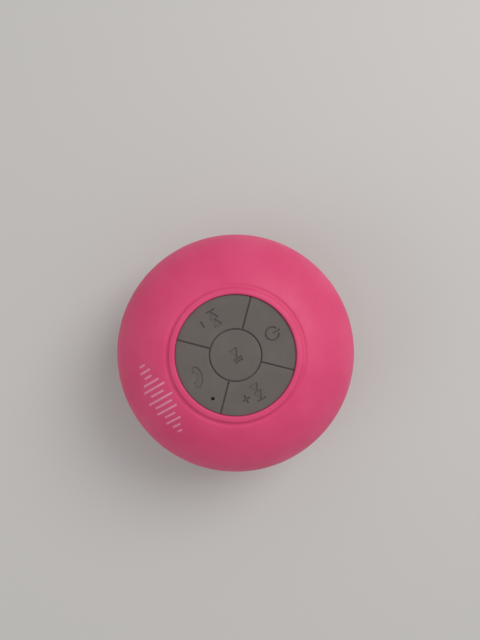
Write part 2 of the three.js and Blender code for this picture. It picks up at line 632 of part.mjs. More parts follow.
function screws() {
  const numbered = (name, places) => places.map((_, i) => `${name}_${i + 1}`);
  const caseScrew = screw(CASE_HEAD, 1.2, CASE_THREAD, 9, CASE_HEAD_SEAT, 1);
  const boardScrew = screw(1.7, 1.1, SMALL_THREAD, 3.9, BOARD_BOTTOM - TOUCH, 1);
  const baffleScrew = screw(1.8, 1.2, SMALL_THREAD, 6.9, BAFFLE_TOP + TOUCH, -1);
  return [
    ...repeated(numbered("case_screw", caseScrewPlaces), caseScrewPlaces, caseScrew, steel),
    ...repeated(numbered("board_screw", boardScrewPlaces), boardScrewPlaces, boardScrew, steel),
    ...repeated(numbered("baffle_screw", baffleScrewPlaces), baffleScrewPlaces, baffleScrew, steel),
  ];
}

// ---- Assembly ----

const mount = group(suctionCup(), swivelCollar(), collarRetainer());
const casing = group(frontSkin(), frontShell(), rearShell(), caseSeal(), grilleMesh());
const keypad = group(...keys(), keypadWeb(), keypadClampRing());
const electronics = group(mainBoard(), ...switches(), radioModule(), microphone(), battery());
const chargingPort = group(chargeSocket(), chargeBoard(), portFlap(), flapTether());
const driver = group(speakerBaffle(), ...speakerDriver(), ...movingCone());
const fixings = group(...wiring(), ...screws());

export default group(mount, casing, keypad, electronics, chargingPort, driver, fixings);
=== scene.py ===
"""The looks of a round shower speaker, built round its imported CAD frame.

Sizes in the functions are in millimetres in the frame's axes and become metres in make_mesh. +Z is the
dome's axis, +Y is the top of the speaker as it hangs on a wall.
"""

import json
import math

import bmesh
import bpy
import numpy as np
from mathutils import Matrix, Vector


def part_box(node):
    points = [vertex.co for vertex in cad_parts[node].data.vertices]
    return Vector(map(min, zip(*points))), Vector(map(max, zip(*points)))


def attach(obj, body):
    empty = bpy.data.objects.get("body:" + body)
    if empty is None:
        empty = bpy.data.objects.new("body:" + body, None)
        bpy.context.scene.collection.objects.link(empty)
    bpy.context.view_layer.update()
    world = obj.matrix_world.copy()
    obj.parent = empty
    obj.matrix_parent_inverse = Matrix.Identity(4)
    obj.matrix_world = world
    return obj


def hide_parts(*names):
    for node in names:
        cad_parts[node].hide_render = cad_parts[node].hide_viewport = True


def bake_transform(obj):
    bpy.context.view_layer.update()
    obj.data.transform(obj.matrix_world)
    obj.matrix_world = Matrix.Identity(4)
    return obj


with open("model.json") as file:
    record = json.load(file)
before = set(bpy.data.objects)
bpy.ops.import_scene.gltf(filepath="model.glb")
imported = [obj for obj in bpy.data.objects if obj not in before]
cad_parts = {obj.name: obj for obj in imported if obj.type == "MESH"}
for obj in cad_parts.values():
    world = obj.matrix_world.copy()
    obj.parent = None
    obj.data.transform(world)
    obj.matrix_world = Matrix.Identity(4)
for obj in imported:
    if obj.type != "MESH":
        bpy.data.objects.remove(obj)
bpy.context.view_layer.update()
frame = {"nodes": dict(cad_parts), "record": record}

MM = 0.001


def box_mm(node):
    """Lowest and highest corner of a CAD node, in millimetres."""
    low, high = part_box(node)
    return low / MM, high / MM


# ---- Sizes read from the frame ----

skin_low, skin_high = box_mm("front_skin")
play_low, play_high = box_mm("key_play")
web_low, web_high = box_mm("keypad_web")
rear_low, rear_high = box_mm("rear_shell")
cup_low, cup_high = box_mm("suction_cup")
flap_low, flap_high = box_mm("port_flap")
tether_low, tether_high = box_mm("flap_tether")
socket_low, socket_high = box_mm("charge_socket")
roll_low, roll_high = box_mm("speaker_surround")

RIM_RADIUS = skin_high.x
TUCK_DEPTH = 4.4  # how far the skin's edge turns in below the rim
TUCK_RADIUS = 39.4  # where the skin's edge and the rear casing meet
RIM_Z = skin_low.z + TUCK_DEPTH
DOME_RISE = 28.0
LIP_TOP = skin_high.z
KEY_TOP = play_high.z
KEY_THICKNESS = 2.0
KEY_BOTTOM = KEY_TOP - KEY_THICKNESS
PLAY_RADIUS = play_high.x
KEYPAD_RADIUS = box_mm("key_next")[1].x
KEY_GAP = 0.4
KEY_CIRCLE = 14.4  # where the outer keys' posts and icons sit
POST_RADIUS = 1.6  # the post under each key
MIC_HOLE = 0.6
FLAP_FACE = tether_low.y  # outer face of the flap and its tether
FLAP_BACK = FLAP_FACE + 1.3
PORT_Z = (tether_low.z + tether_high.z) / 2


# ---- Mesh helpers ----


def polar(radius, degrees):
    return radius * math.cos(math.radians(degrees)), radius * math.sin(math.radians(degrees))


KEY_PLACES = [(0, 0), *(polar(KEY_CIRCLE, degrees) for degrees in (0, 90, 180, 270))]
MIC_PLACE = polar(15.8, -58.1)


def make_mesh(name, points, faces, crease=35):
    """An object from points in millimetres, shaded smooth but for edges sharper than crease degrees."""
    mesh = bpy.data.meshes.new(name)
    mesh.from_pydata((np.asarray(points, float) * MM).tolist(), [], faces)
    made = bpy.data.objects.new(name, mesh)
    bpy.context.scene.collection.objects.link(made)
    shade(made, crease)
    return made


def shade(piece, crease=35):
    work = bmesh.new()
    work.from_mesh(piece.data)
    bmesh.ops.remove_doubles(work, verts=work.verts, dist=1e-7)
    bmesh.ops.recalc_face_normals(work, faces=work.faces)
    for face in work.faces:
        face.smooth = True
    for edge in work.edges:
        edge.smooth = edge.calc_face_angle(0) < math.radians(crease)
    work.to_mesh(piece.data)
    work.free()


def arc(centre, half_width, half_height, start, stop, steps):
    """Points of an elliptical arc in the (radius, height) plane, between two angles in degrees."""
    angles = np.radians(np.linspace(start, stop, steps + 1))
    return [(centre[0] + half_width * math.cos(a), centre[1] + half_height * math.sin(a)) for a in angles]


def curve(points, steps=6):
    """A Catmull-Rom curve through the points."""
    p = np.asarray([points[0], *points, points[-1]], float)
    made = []
    for i in range(1, len(p) - 2):
        a, b, c, d = p[i - 1 : i + 3]
        for t in np.arange(steps) / steps:
            made.append(tuple(0.5 * (2 * b + (c - a) * t + (2 * a - 5 * b + 4 * c - d) * t * t
                                     + (3 * b - a - 3 * c + d) * t**3)))
    return [*made, tuple(p[-2])]


def rounded(points, radius, steps=4, closed=True):
    """The outline with each corner rounded, to the radius or as far as its sides allow."""
    p = [Vector(q).to_2d() for q in points]
    made = []
    for i, corner in enumerate(p):
        if not closed and i in (0, len(p) - 1):
            made.append(tuple(corner))
            continue
        before, after = p[i - 1] - corner, p[(i + 1) % len(p)] - corner
        turn = math.pi - before.angle(after)
        if turn < math.radians(8):
            made.append(tuple(corner))
            continue
        reach = min(radius * math.tan(turn / 2), before.length * 0.48, after.length * 0.48)
        start, stop = corner + before.normalized() * reach, corner + after.normalized() * reach
        for t in np.linspace(0, 1, steps + 1):
            made.append(tuple((1 - t) ** 2 * start + 2 * t * (1 - t) * corner + t * t * stop))
    return made


def lathe(name, outline, segments=192, crease=35, start=0.0, stop=360.0):
    """A turned solid about Z, from an outline of (radius, height) points that closes on itself."""
    whole = stop - start >= 360
    angles = np.radians(np.linspace(start, stop, segments + (0 if whole else 1), endpoint=not whole))
    count = len(outline)
    points = [(r * math.cos(a), r * math.sin(a), z) for a in angles for r, z in outline]
    faces = []
    for i in range(segments):
        j = (i + 1) % len(angles)
        for k in range(count):
            m = (k + 1) % count
            faces.append((i * count + k, j * count + k, j * count + m, i * count + m))
    if not whole:
        last = (len(angles) - 1) * count
        faces += [tuple(range(count)), tuple(last + k for k in reversed(range(count)))]
    piece = make_mesh(name, points, faces, crease)
    drop_needles(piece, crease)
    return piece


def drop_needles(piece, crease):
    """Removes the empty faces that a turned outline leaves on its axis."""
    work = bmesh.new()
    work.from_mesh(piece.data)
    bmesh.ops.dissolve_degenerate(work, dist=1e-8, edges=work.edges)
    empty = [f for f in work.faces if f.calc_area() < 1e-14]
    bmesh.ops.delete(work, geom=empty, context="FACES_ONLY")
    work.to_mesh(piece.data)
    work.free()
    shade(piece, crease)


def rounded_rectangle(x0, x1, y0, y1, radius, steps=6):
    return rounded([(x0, y0), (x1, y0), (x1, y1), (x0, y1)], radius, steps)


def tube_faces(count, rings):
    """Faces of a body made of rings of count points, one after another, with both ends closed."""
    faces = []
    for i in range(rings - 1):
        for k in range(count):
            m = (k + 1) % count
            faces.append((i * count + k, i * count + m, (i + 1) * count + m, (i + 1) * count + k))
    return [*faces, tuple(range(count)), tuple((rings - 1) * count + k for k in range(count))]


def inset(outline, amount):
    """A convex outline, counter-clockwise, moved in by the amount."""
    p = np.asarray(outline, float)
    along = np.roll(p, -1, 0) - np.roll(p, 1, 0)
    along /= np.linalg.norm(along, axis=1)[:, None]
    return p + amount * np.stack([-along[:, 1], along[:, 0]], 1)


def slab(name, outline, low, high, edge, plane="XZ", crease=35, steps=3):
    """A plate of that outline with rounded rims, between two depths along the axis across the plane."""
    rims = [(low + edge * (1 - math.cos(math.radians(t))), edge * (1 - math.sin(math.radians(t))))
            for t in np.linspace(0, 90, steps + 1)]
    rims += [(low + high - depth, shift) for depth, shift in reversed(rims)]
    points = []
    for depth, shift in rims:
        for u, v in inset(outline, shift):
            points.append((u, depth, v) if plane == "XZ" else (u, v, depth))
    return make_mesh(name, points, tube_faces(len(outline), len(rims)), crease)


def combine(piece, tool, operation, crease=35):
    """Joins the tool to the piece, or cuts it out, and removes the tool."""
    modifier = piece.modifiers.new("boolean", "BOOLEAN")
    modifier.operation = operation
    modifier.solver = "EXACT"
    modifier.object = tool
    applied = bpy.data.meshes.new_from_object(piece.evaluated_get(bpy.context.evaluated_depsgraph_get()))
    piece.modifiers.clear()
    piece.data = applied
    bpy.data.objects.remove(tool)
    shade(piece, crease)
    return piece


def merged(pieces, name):
    """Several objects as one object of separate closed bodies."""
    work = bmesh.new()
    for piece in pieces:
        work.from_mesh(piece.data)
        bpy.data.objects.remove(piece)
    mesh = bpy.data.meshes.new(name)
    work.to_mesh(mesh)
    work.free()
    made = bpy.data.objects.new(name, mesh)
    bpy.context.scene.collection.objects.link(made)
    return made


def ring_points(centre, radius, segments):
    return [(centre[0] + radius * math.cos(a), centre[1] + radius * math.sin(a))
            for a in np.linspace(0, 2 * math.pi, segments, endpoint=False)]


def rod(name, centre, radius, low, high, segments=32):
    return slab(name, ring_points(centre, radius, segments), low, high, 0.01, plane="XY", steps=1)


# ---- Materials ----


class Look:
    """A Principled material and short calls that give it texture, in millimetres."""

    def __init__(self, name, color, roughness, **inputs):
        self.material = bpy.data.materials.new(name)
        self.material.use_nodes = True
        self.tree = self.material.node_tree
        self.shader = self.tree.nodes["Principled BSDF"]
        self.shader.inputs["Base Color"].default_value = (*color, 1)
        self.shader.inputs["Roughness"].default_value = roughness
        for key, value in inputs.items():
            self.shader.inputs[key.replace("_", " ")].default_value = value
        self.place = self.node("ShaderNodeTexCoord").outputs["Object"]
        self.normal = None

    def node(self, kind, **settings):
        made = self.tree.nodes.new(kind)
        for key, value in settings.items():
            if key in made.inputs:
                made.inputs[key].default_value = value
            else:
                setattr(made, key, value)
        return made

    def link(self, output, target):
        self.tree.links.new(output, target)

    def noise(self, size, detail=2.0, stretch=(1, 1, 1)):
        """Noise with features of about that size."""
        mapping = self.node("ShaderNodeMapping", Scale=tuple(s / (size * MM) for s in stretch))
        self.link(self.place, mapping.inputs["Vector"])
        noise = self.node("ShaderNodeTexNoise", Scale=1.0, Detail=detail)
        self.link(mapping.outputs[0], noise.inputs["Vector"])
        return noise.outputs[0]

    def ramp(self, value, low, high, to_low, to_high):
        ramp = self.node("ShaderNodeMapRange", **{"From Min": low, "From Max": high, "To Min": to_low,
                                                   "To Max": to_high})
        self.link(value, ramp.inputs["Value"])
        return ramp.outputs[0]

    def vary_roughness(self, size, low, high):
        self.link(self.ramp(self.noise(size), 0.3, 0.7, low, high), self.shader.inputs["Roughness"])
        return self

    def vary_color(self, size, first, second, detail=3.0, low=0.35, high=0.65):
        mix = self.node("ShaderNodeMix", data_type="RGBA")
        self.link(self.ramp(self.noise(size, detail), low, high, 0, 1), mix.inputs["Factor"])
        mix.inputs["A"].default_value = (*first, 1)
        mix.inputs["B"].default_value = (*second, 1)
        self.paint(mix.outputs["Result"])
        return self

    def paint(self, output):
        self.link(output, self.shader.inputs["Base Color"])

    def bump(self, height, depth, strength=1.0):
        """Adds a bump of that depth in millimetres under the ones already there."""
        bump = self.node("ShaderNodeBump", Strength=strength, Distance=depth * MM)
        self.link(height, bump.inputs["Height"])
        if self.normal:
            self.link(self.normal, bump.inputs["Normal"])
        self.normal = bump.outputs[0]
        self.link(self.normal, self.shader.inputs["Normal"])
        return self

    def grain(self, size, depth):
        return self.bump(self.noise(size, 1.0), depth)


def srgb(red, green, blue):
    """Linear colour from screen values of 0 to 255."""
    def line(c):
        c /= 255
        return c / 12.92 if c <= 0.04045 else ((c + 0.055) / 1.055) ** 2.4
    return tuple(line(c) for c in (red, green, blue))


def dome_silicone():
    look = Look("pink_silicone", srgb(225, 68, 118), 0.5, Specular_IOR_Level=0.35, Subsurface_Weight=0.12,
                Subsurface_Scale=0.002)
    look.shader.inputs["Subsurface Radius"].default_value = (1.0, 0.35, 0.4)
    look.vary_color(14, srgb(223, 69, 118), srgb(228, 78, 125))
    look.vary_roughness(6, 0.45, 0.55)
    return look.grain(0.12, 0.004).grain(1.5, 0.006).material


def key_silicone():
    look = Look("grey_silicone", srgb(103, 97, 94), 0.55, Specular_IOR_Level=0.35)
    look.vary_color(7, srgb(101, 95, 92), srgb(106, 99, 96))
    look.vary_roughness(3, 0.48, 0.58)
    return look.grain(0.12, 0.012).grain(0.8, 0.004).material


def rear_plastic():
    look = Look("pink_plastic", srgb(214, 52, 102), 0.34)
    look.vary_color(20, srgb(211, 50, 99), srgb(218, 56, 106))
    look.vary_roughness(2, 0.3, 0.4)
    return look.grain(0.18, 0.008).material


def cup_vinyl():
    look = Look("pink_vinyl", srgb(238, 120, 158), 0.16, Transmission_Weight=0.6, IOR=1.52,
                Subsurface_Weight=0.3, Subsurface_Scale=0.003)
    look.vary_roughness(8, 0.16, 0.26)
    return look.grain(3, 0.01).material


def mark_print():
    look = Look("mark_print", srgb(232, 140, 170), 0.5)
    look.vary_color(0.6, srgb(229, 133, 165), srgb(235, 146, 175))
    return look.grain(0.2, 0.004).material


def moulded(name, color, roughness=0.45):
    look = Look(name, color, roughness)
    darker = tuple(c * 0.9 for c in color)
    look.vary_color(3, darker, color)
    look.vary_roughness(1.2, roughness - 0.06, roughness + 0.06)
    return look.grain(0.15, 0.008).material


def plated_steel():
    look = Look("plated_steel", (0.62, 0.62, 0.63), 0.3, Metallic=1.0)
    look.vary_roughness(0.5, 0.22, 0.4)
    return look.bump(look.noise(0.6, 2.0, (1, 8, 1)), 0.004).material


def woven_cloth(name, color, pitch):
    """Plain weave: two crossing sets of ridges, with painted shade that darkens the colour in the hollows
    between them.
    """
    look = Look(name, color, 0.9, Sheen_Weight=0.15)
    split = look.node("ShaderNodeSeparateXYZ")
    look.link(look.place, split.inputs[0])
    ridges = []
    for axis in ("X", "Y", "Z"):
        wave = look.node("ShaderNodeMath", operation="MULTIPLY")
        look.link(split.outputs[axis], wave.inputs[0])
        wave.inputs[1].default_value = 2 * math.pi / (pitch * MM)
        sine = look.node("ShaderNodeMath", operation="SINE")
        look.link(wave.outputs[0], sine.inputs[0])
        ridges.append(sine.outputs[0])
    first = look.node("ShaderNodeMath", operation="MULTIPLY")
    look.link(ridges[0], first.inputs[0])
    look.link(ridges[2], first.inputs[1])
    second = look.node("ShaderNodeMath", operation="MULTIPLY")
    look.link(ridges[1], second.inputs[0])
    look.link(ridges[2], second.inputs[1])
    both = look.node("ShaderNodeMath", operation="ADD")
    look.link(first.outputs[0], both.inputs[0])
    look.link(second.outputs[0], both.inputs[1])
    # Painted shade: the colour falls to about a third where the weave's height is lowest, in the hollows
    # between the ridges.
    mix = look.node("ShaderNodeMix", data_type="RGBA")
    look.link(look.ramp(both.outputs[0], -1, 1, 0, 1), mix.inputs["Factor"])
    mix.inputs["A"].default_value = (*[c * 0.35 for c in color], 1)
    mix.inputs["B"].default_value = (*color, 1)
    look.paint(mix.outputs["Result"])
    return look.bump(both.outputs[0], 0.06).material


def circuit_board():
    look = Look("board_green", (0.012, 0.09, 0.04), 0.35)
    look.vary_color(1.6, (0.01, 0.075, 0.033), (0.02, 0.14, 0.06), detail=0, low=0.48, high=0.52)
    return look.grain(0.4, 0.01).material


def copper_wire():
    look = Look("copper_wire", (0.55, 0.22, 0.08), 0.3, Metallic=1.0)
    return look.bump(look.noise(0.4, 0, (0.05, 0.05, 2)), 0.03).material


def foil_pouch():
    look = Look("foil_pouch", (0.6, 0.61, 0.63), 0.32, Metallic=1.0)
    return look.vary_roughness(2, 0.25, 0.42).bump(look.noise(3, 3.0), 0.05).material


# ---- Silicone dome ----


BEAD_FOOT = 23.4  # where the valley round the raised bead has run out into the dome
BEAD_SAG = 0.36  # how far the dome lies below its ellipse at that foot
SAG_END = 29.0  # where the dome follows its ellipse again
SKIN = 1.5  # thickness of the skin
PAD_SEAT = LIP_TOP - 2.5  # height of the face inside the bead that holds the key pad


def dome_height(radius):
    """Height of the dome's outer surface: an ellipse that flattens a little towards the bead."""
    near = np.clip((SAG_END - radius) / (SAG_END - BEAD_FOOT), 0, 1)
    return RIM_Z + DOME_RISE * np.sqrt(1 - (radius / RIM_RADIUS) ** 2) - BEAD_SAG * near * near


def front_skin():
    """The silicone skin, from the bead's inner face over the dome to its edge tucked in behind the rim."""
    inner = KEYPAD_RADIUS + 0.06
    foot = float(dome_height(BEAD_FOOT))
    bead = curve([
        (inner, LIP_TOP - 0.72), (inner + 0.06, LIP_TOP - 0.3), (inner + 0.25, LIP_TOP - 0.07),
        (inner + 0.7, LIP_TOP), (inner + 1.3, LIP_TOP - 0.1), (inner + 1.85, LIP_TOP - 0.28),
        (inner + 2.3, foot + 0.32), (inner + 2.7, foot + 0.02), (inner + 3.05, foot - 0.08),
        (BEAD_FOOT - 0.3, foot - 0.06), (BEAD_FOOT, foot),
    ], 5)
    radii = RIM_RADIUS * np.cos(np.linspace(math.acos(BEAD_FOOT / RIM_RADIUS), 0, 65)[1:])
    dome = [(float(r), float(dome_height(r))) for r in radii]
    centre = (TUCK_RADIUS, RIM_Z)
    tuck = RIM_RADIUS - TUCK_RADIUS
    outer_tuck = arc(centre, tuck, TUCK_DEPTH, 0, -90, 16)[1:]
    hem = [(TUCK_RADIUS - 0.25, skin_low.z + 0.25), (TUCK_RADIUS - 0.25, skin_low.z + SKIN - 0.1)]
    inner_tuck = arc(centre, tuck - SKIN, TUCK_DEPTH - SKIN, -90, 0, 8)
    rise = DOME_RISE - SKIN
    top = math.degrees(math.asin((PAD_SEAT - RIM_Z) / rise))
    inner_dome = arc((0, RIM_Z), RIM_RADIUS - SKIN, rise, 0, top, 24)[1:]
    outline = [(inner, PAD_SEAT), *bead, *dome, *outer_tuck, *hem, *inner_tuck, *inner_dome]
    return lathe("dome_skin", outline, 288)


def dome_mark():
    """A generic row of level bars, printed on the dome on the phone key's side."""
    heights = (2.2, 4.2, 3.0, 6.4, 8.6, 5.2, 9.8, 6.8, 8.2, 4.4, 6.0, 3.2, 2.0)
    pitch, half, centre_y = 2.05, 0.34, -28.6
    lift, sink = 0.04, 0.08
    points, faces = [], []
    for i, height in enumerate(heights):
        x = (i - (len(heights) - 1) / 2) * pitch
        stations = np.concatenate([half * (1 - np.cos(np.linspace(0, math.pi / 2, 5))),
                                   np.linspace(half, height - half, 14)[1:-1],
                                   height - half * (1 - np.cos(np.linspace(math.pi / 2, 0, 5)))])
        first = len(points)
        for s in stations:
            end = min(s, height - s)
            width = half if end >= half else math.sqrt(max(half**2 - (half - end) ** 2, 1e-4))
            y = centre_y + s - height / 2
            for side, level in ((-1, -sink), (-1, lift), (1, lift), (1, -sink)):
                px = x + side * width
                points.append((px, y, dome_height(math.hypot(px, y)) + level))
        for s in range(len(stations) - 1):
            a, b = first + 4 * s, first + 4 * (s + 1)
            faces += [(a + k, a + (k + 1) % 4, b + (k + 1) % 4, b + k) for k in range(4)]
        end = first + 4 * (len(stations) - 1)
        faces += [(first, first + 3, first + 2, first + 1), (end, end + 1, end + 2, end + 3)]
    return make_mesh("dome_mark", points, faces, 60)


# ---- Keys ----

STROKE = 0.2  # half the width of an icon's line, and how far its shapes reach past their corners
ICON_DEPTH = 0.42
KEY_EDGE = 0.14  # rounding of the keys' top edges


def to_segment(x, y, a, b):
    """Distance from each point to the stretch from a to b."""
    ax, ay = a
    dx, dy = b[0] - ax, b[1] - ay
    t = np.clip(((x - ax) * dx + (y - ay) * dy) / max(dx * dx + dy * dy, 1e-12), 0, 1)
    return np.hypot(x - ax - t * dx, y - ay - t * dy)


def to_path(x, y, path):
    return np.minimum.reduce([to_segment(x, y, a, b) for a, b in zip(path[:-1], path[1:])])


def to_shape(x, y, corners):
    """Distance to a closed shape, 0 inside it."""
    inside = np.zeros(np.shape(x), bool)
    for (ax, ay), (bx, by) in zip(corners, [*corners[1:], corners[0]]):
        if ay != by:
            crosses = (ay > y) != (by > y)
            inside ^= crosses & (x < (bx - ax) * (y - ay) / (by - ay) + ax)
    return np.where(inside, 0, to_path(x, y, [*corners, corners[0]]))


def circle_path(centre, radius, start, stop, steps=24):
    return arc(centre, radius, radius, start, stop, steps)


def power_icon(x, y):
    centre = (0, 13.7)
    ring = to_path(x, y, circle_path(centre, 2.15, 118, 422))
    stem = to_segment(x, y, (0, centre[1] + 0.4), (0, centre[1] + 2.6))
    return np.minimum(ring, stem)


def skip_icon(x, y, side):
    """Two triangles and a bar, pointing to the side, with a plus (1) or a minus (-1) below."""
    x = x * side
    triangles = [to_shape(x, y, [(start, -1.2), (start + 2.3, 0), (start, 1.2)])
                 for start in (11.2, 13.8)]
    bar = to_segment(x, y, (16.5, -1.35), (16.5, 1.35))
    sign_x, sign_y = 14, -4.3
    reach = 1.2 if side > 0 else 0.9
    signs = [to_segment(x, y, (sign_x - reach, sign_y), (sign_x + reach, sign_y))]
    if side > 0:
        signs.append(to_segment(x, y, (sign_x, sign_y - reach), (sign_x, sign_y + reach)))
    return np.minimum.reduce([*triangles, bar, *signs])


def phone_icon(x, y):
    """A handset: a bowed grip with an ear piece and a mouth piece."""
    tilt = math.radians(20)
    below = y + 13.9
    u = x * math.cos(tilt) - below * math.sin(tilt)
    v = x * math.sin(tilt) + below * math.cos(tilt)
    back = circle_path((0, -3.1), 4.3, 138, 42, 12)
    front = circle_path((0, -3.3), 3.1, 58, 122, 8)
    right = [(3.25, -1.3), (1.75, -1.65)]
    left = [(-1.75, -1.65), (-3.25, -1.3)]
    return to_shape(u, v, [*back, *right, *front, *left])


def play_icon(x, y):
    triangle = to_shape(x, y, [(-1.9, -1.2), (0.5, 0), (-1.9, 1.2)])
    bars = [to_segment(x, y, (bar, -1.3), (bar, 1.3)) for bar in (1.25, 2.15)]
    return np.minimum.reduce([triangle, *bars])


def sunk(distance):
    """Depth of a sunk line or shape with soft edges, from the distance to it."""
    t = np.clip((STROKE + 0.05 - distance) / 0.11, 0, 1)
    return ICON_DEPTH * t * t * (3 - 2 * t)


def edge_fall(distance):
    """How far a rounded edge has fallen, from the distance to the edge."""
    d = np.clip(distance, 0, KEY_EDGE)
    return KEY_EDGE - np.sqrt(KEY_EDGE**2 - (KEY_EDGE - d) ** 2)


def spaced(low, high, fine_low, fine_high, fine, coarse):
    """Positions from low to high, close together in the fine stretch and at both ends."""
    ends = np.array([0, 0.015, 0.045, 0.09, KEY_EDGE])
    inner = np.arange(fine_low, fine_high, fine)
    steps_before = max(int((fine_low - low) / coarse), 2)
    steps_after = max(int((high - fine_high) / coarse), 2)
    before = np.linspace(low + KEY_EDGE, fine_low, steps_before, endpoint=False)[1:]
    after = np.linspace(fine_high, high - KEY_EDGE, steps_after, endpoint=False)
    return np.concatenate([low + ends, before, inner, after, (high - ends)[::-1]])


def closed_plate(name, grid, low):
    """A closed body from a grid of top points, with walls down to a flat underside."""
    rows, columns, _ = grid.shape
    points = grid.reshape(-1, 3)
    index = np.arange(rows * columns).reshape(rows, columns)
    faces = [(int(index[i, j]), int(index[i + 1, j]), int(index[i + 1, j + 1]), int(index[i, j + 1]))
             for i in range(rows - 1) for j in range(columns - 1)]
    rim = [*index[0, :-1], *index[:-1, -1], *index[-1, :0:-1], *index[:0:-1, 0]]
    below = len(points)
    lowered = points[rim].copy()
    lowered[:, 2] = low
    count = len(rim)
    for k in range(count):
        m = (k + 1) % count
        faces.append((int(rim[k]), int(rim[m]), below + m, below + k))
    faces.append(tuple(range(below, below + count)))
    return make_mesh(name, np.concatenate([points, lowered]), faces)


def sector_key(name, degrees, icon):
    """A quarter of the key ring, centred on that direction, with its icon sunk in it."""
    inner = PLAY_RADIUS + KEY_GAP
    radii = spaced(inner, KEYPAD_RADIUS, 10.6, 17.4, 0.08, 0.7)
    across = spaced(-1, 1, -0.56, 0.56, 0.0075, 0.045)
    r, s = np.meshgrid(radii, across, indexing="ij")
    widest = math.pi / 4 - np.arcsin(KEY_GAP / 2 / r)
    angle = s * widest
    x, y = r * np.cos(angle), r * np.sin(angle)
    side = r * np.sin(math.pi / 4 - np.abs(angle)) - KEY_GAP / 2
    border = np.minimum.reduce([r - inner, KEYPAD_RADIUS - r, side])
    turn = math.radians(degrees)
    wx, wy = x * math.cos(turn) - y * math.sin(turn), x * math.sin(turn) + y * math.cos(turn)
    z = KEY_TOP - edge_fall(border) - sunk(icon(wx, wy))
    plate = closed_plate(name, np.stack([wx, wy, z], -1), KEY_BOTTOM)
    if name.endswith("phone"):
        combine(plate, rod("mic_drill", MIC_PLACE, MIC_HOLE, KEY_BOTTOM - 1, KEY_TOP + 1), "DIFFERENCE")
    post = rod("post", polar(KEY_CIRCLE, degrees), POST_RADIUS, play_low.z, KEY_BOTTOM - 0.01)
    return merged([plate, post], name)


def play_key(name):
    """The round middle key, in rings that lie close together under its icon and at its edge."""
    rings = np.concatenate([[0.0], np.arange(0.09, 2.9, 0.09), np.linspace(3, PLAY_RADIUS - KEY_EDGE, 9),
                            PLAY_RADIUS - np.array([0.09, 0.045, 0.015, 0])])
    sectors = 144
    angles = np.linspace(0, 2 * math.pi, sectors, endpoint=False)
    r, a = np.meshgrid(rings[1:], angles, indexing="ij")
    x, y = r * np.cos(a), r * np.sin(a)
    z = KEY_TOP - edge_fall(PLAY_RADIUS - r) - sunk(play_icon(x, y))
    top = np.stack([x, y, z], -1).reshape(-1, 3)
    middle = np.array([[0, 0, KEY_TOP - float(sunk(play_icon(np.zeros(1), np.zeros(1)))[0])]])
    rows = len(rings) - 1
    under = top[-sectors:].copy()
    under[:, 2] = KEY_BOTTOM
    points = np.concatenate([top, under, middle])
    faces = []
    for i in range(rows):
        for k in range(sectors):
            m = (k + 1) % sectors
            faces.append((i * sectors + k, i * sectors + m, (i + 1) * sectors + m, (i + 1) * sectors + k))
    faces += [(len(points) - 1, k, (k + 1) % sectors) for k in range(sectors)]
    faces.append(tuple(rows * sectors + k for k in range(sectors)))
    plate = make_mesh(name, points, faces)
    post = rod("post", (0, 0), POST_RADIUS, play_low.z, KEY_BOTTOM - 0.01)
    return merged([plate, post], name)


def keypad_web():
    """The sheet that joins the keys, with ribs that close the grooves between them a little way down."""
    thickness = 0.65
    outer, inner = KEYPAD_RADIUS - 0.05, KEYPAD_RADIUS - 0.8
    top, under, flange = web_high.z, web_high.z - thickness, web_low.z + thickness
    sheet = lathe("sheet", [
        (0, top), (outer, top), (outer, flange), (web_high.x, flange),
        (web_high.x, web_low.z), (inner, web_low.z), (inner, under), (0, under),
    ], 96)
    drills = [rod("drill", place, POST_RADIUS + 0.4, web_low.z - 1, web_high.z + 1)
              for place in KEY_PLACES]
    drills.append(rod("drill", MIC_PLACE, MIC_HOLE - 0.05, web_low.z - 1, web_high.z + 1))
    combine(sheet, merged(drills, "drills"), "DIFFERENCE")
    rib_top = KEY_TOP - 0.55
    half = KEY_GAP / 2 - 0.05
    middle = PLAY_RADIUS + KEY_GAP / 2
    rib_foot = web_high.z - 0.1
    ribs = [lathe("rib", [(middle - half, rib_foot), (middle + half, rib_foot),
                          (middle + half, rib_top), (middle - half, rib_top)], 144)]
    for degrees in (45, 135, 225, 315):
        a = math.radians(degrees)
        along = Vector((math.cos(a), math.sin(a), 0))
        aside = Vector((-math.sin(a), math.cos(a), 0)) * half
        ends = [along * (middle + half - 0.02), along * (KEYPAD_RADIUS - 0.1)]
        base = [ends[0] - aside, ends[1] - aside, ends[1] + aside, ends[0] + aside]
        points = [(p.x, p.y, z) for z in (rib_foot, rib_top) for p in base]
        ribs.append(make_mesh("rib", points, tube_faces(4, 2)))
    return merged([sheet, *ribs], "keypad_sheet")


# ---- Rear casing ----

NECK_RADIUS = 27.8
SLOT_COUNT = 32
SLOT_WIDTH = 2.9
SLOT_LOW, SLOT_HIGH = 16.6, 20.8
SCREW_PLACES = [polar(33.5, degrees) for degrees in (45, 135, 225, 315)]
POST_PLACES = [polar(22.6, degrees) for degrees in (0, 120, 240)]
BOSS_RADIUS = 3.2  # round each case screw
COUNTERBORE_RADIUS = 2.6
SCREW_HOLE_RADIUS = 1.25
BAFFLE_POST_RADIUS = 2.2  # under the speaker's baffle
PILOT_RADIUS = 0.9  # of the baffle screws' pilot holes
PORT_HOLE = (-4, 4, 16.6, 19.7)  # left, right, low and high
PEG_X = -9.0
PEG_RADIUS = 0.75


